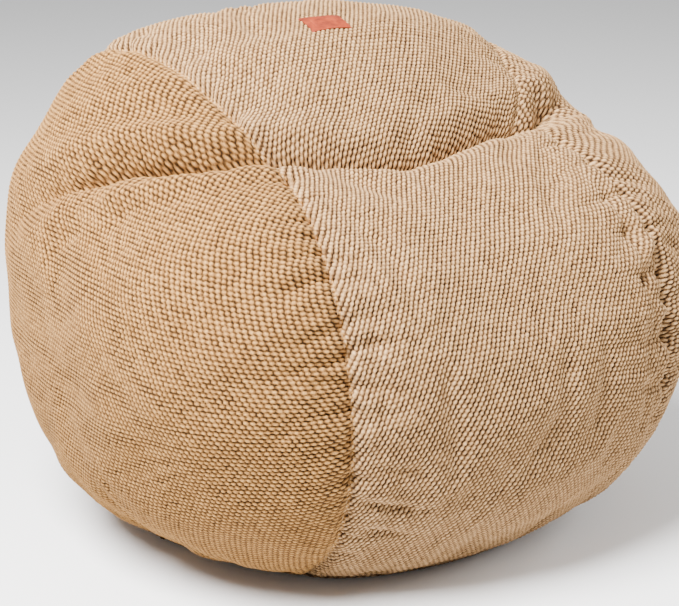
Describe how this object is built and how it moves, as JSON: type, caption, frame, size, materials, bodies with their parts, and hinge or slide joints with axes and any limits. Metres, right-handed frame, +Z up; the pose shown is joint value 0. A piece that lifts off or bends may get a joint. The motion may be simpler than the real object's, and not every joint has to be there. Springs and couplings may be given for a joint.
{
  "type": "bean bag chair",
  "caption": "Round foam-filled bag chair with a seat crease between a low front lobe and a tall back lobe, a zip-off cover and a liner.",
  "frame": {"origin": "on the floor, under the middle of the chair's box", "axes": "+Z up, the sitter faces -Y, +X to the right seen from the front"},
  "size_m": [0.9824, 0.9089, 0.7725],
  "materials": {
    "chenille": "ribbed popcorn chenille, matt",
    "overlock_thread": "overlocked polyester thread",
    "label_leather": "rust brown, satin",
    "zip_tape": "woven polyester tape",
    "zip_teeth": "moulded polyester",
    "zip_metal": "nickel plated, satin",
    "liner_cloth": "plain woven polyester",
    "foam": "shredded polyurethane foam"
  },
  "bodies": {
    "bag": {"cover_centre_band": "chenille", "cover_left_side": "chenille", "cover_right_side": "chenille", "cover_base_front": "chenille", "cover_base_rear": "chenille", "left_seam_overlock": "overlock_thread", "right_seam_overlock": "overlock_thread", "base_seam_overlock": "overlock_thread", "leather_label": "label_leather", "zip_tape_front": "zip_tape", "zip_tape_rear": "zip_tape", "zip_teeth_front": "zip_teeth", "zip_teeth_rear": "zip_teeth", "zip_top_stops": "zip_metal", "zip_bottom_stop": "zip_metal", "liner_centre_band": "liner_cloth", "liner_left_side": "liner_cloth", "liner_right_side": "liner_cloth", "liner_base": "liner_cloth", "foam_fill": "foam"},
    "zip_slider_body": {"zip_slider": "zip_metal"},
    "zip_pull_body": {"zip_pull_tab": "zip_metal"}
  },
  "joints": [
    {"name": "zip_slide", "type": "slide", "parent": "bag", "child": "zip_slider_body", "axis": [-1, 0, 0], "range_m": [0, 0.442]},
    {"name": "pull_tab_swing", "type": "hinge", "parent": "zip_slider_body", "child": "zip_pull_body", "pos_m": [0.224, 0, 0.00255], "axis": [0, -1, 0], "range_deg": [0, 150]}
  ]
}
